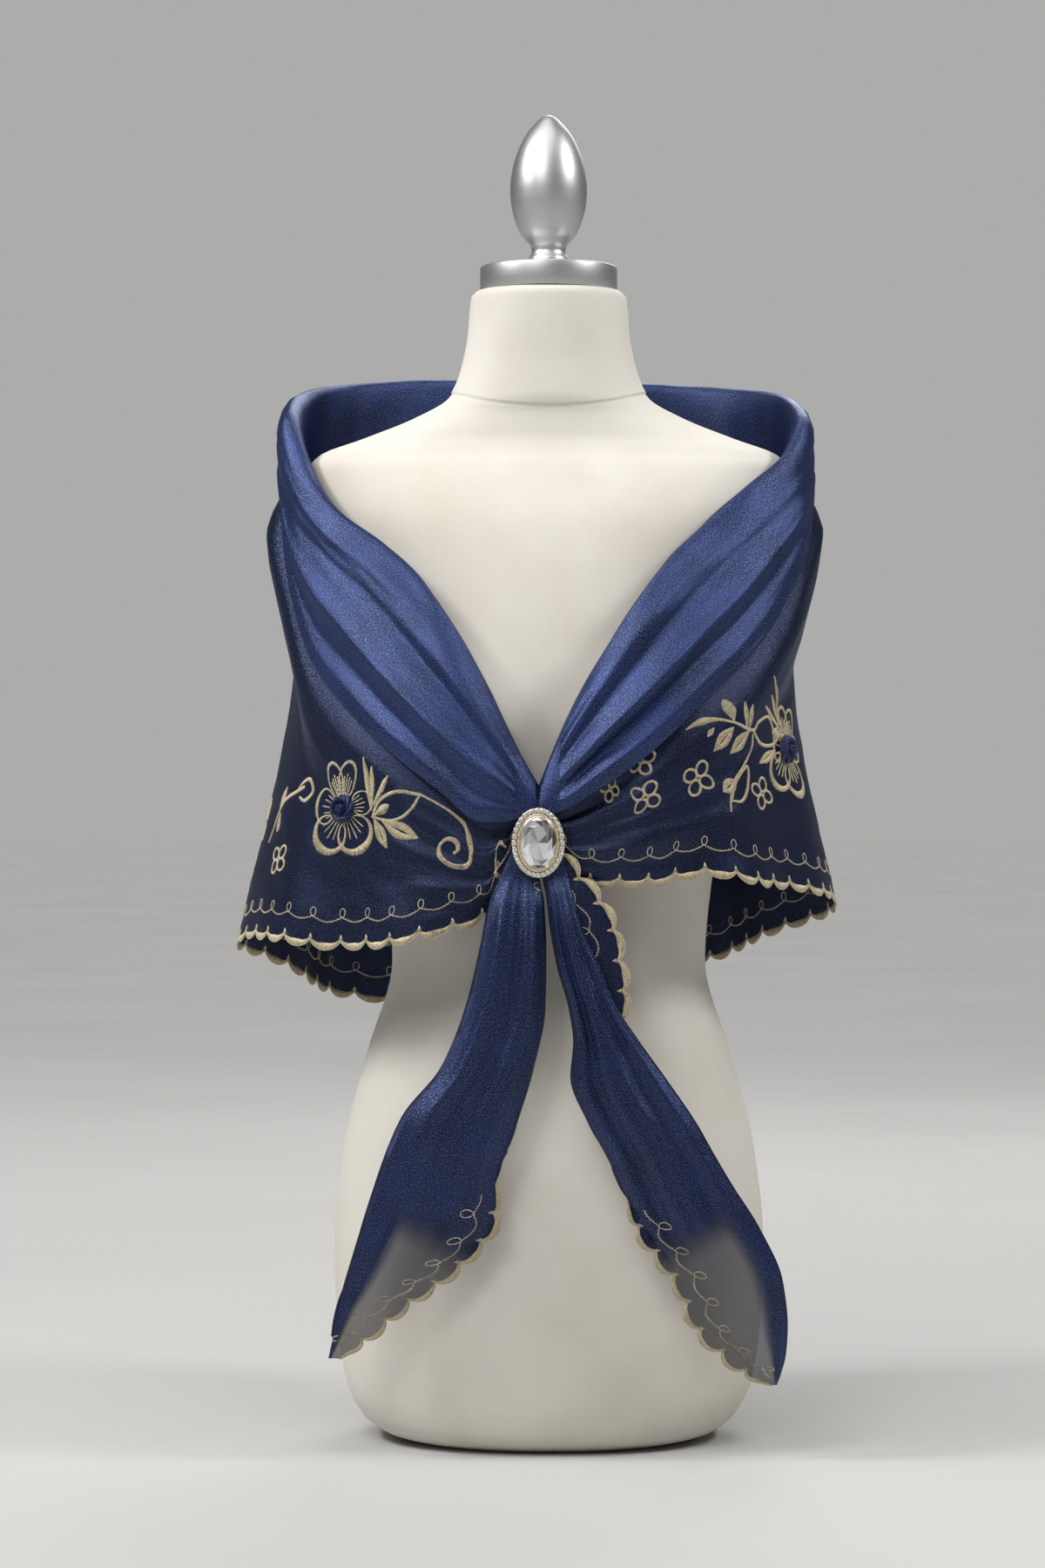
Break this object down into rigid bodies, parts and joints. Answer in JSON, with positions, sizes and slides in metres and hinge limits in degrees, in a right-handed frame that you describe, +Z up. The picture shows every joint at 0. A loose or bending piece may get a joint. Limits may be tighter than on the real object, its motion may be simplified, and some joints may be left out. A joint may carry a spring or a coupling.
{
  "type": "embroidered organza shawl on a dress form",
  "caption": "Sheer shawl with a scalloped embroidered hem, worn round the shoulders of a limbless dress form and held in front by an oval brooch.",
  "frame": {"origin": "middle of the flat underside of the dress form", "axes": "+Z up along the form's axis, -Y towards the wearer's front, +X to the right of someone who faces the front"},
  "size_m": [0.471, 0.3466, 1.029],
  "materials": {
    "organza": "sheer shimmering navy organza",
    "embroidery_thread": "champagne satin-stitch thread",
    "satin_ribbon": "navy satin ribbon",
    "form_cloth": "off-white stretched cotton jersey",
    "aluminium": "turned and brushed aluminium",
    "gold_plate": "polished pale gold plate",
    "crystal": "cut clear crystal with foil behind it"
  },
  "bodies": {
    "root": {"shawl_left_front": "organza", "shawl_back": "organza", "shawl_right_front": "organza", "tail_left": "organza", "tail_right": "organza", "rosette_left_front": "satin_ribbon", "rosette_left_back": "satin_ribbon", "rosette_back": "satin_ribbon", "rosette_right_back": "satin_ribbon", "rosette_right_front": "satin_ribbon", "brooch_setting": "gold_plate", "brooch_stone": "crystal", "form_body": "form_cloth", "neck_cap": "aluminium", "finial": "aluminium"}
  },
  "joints": []
}
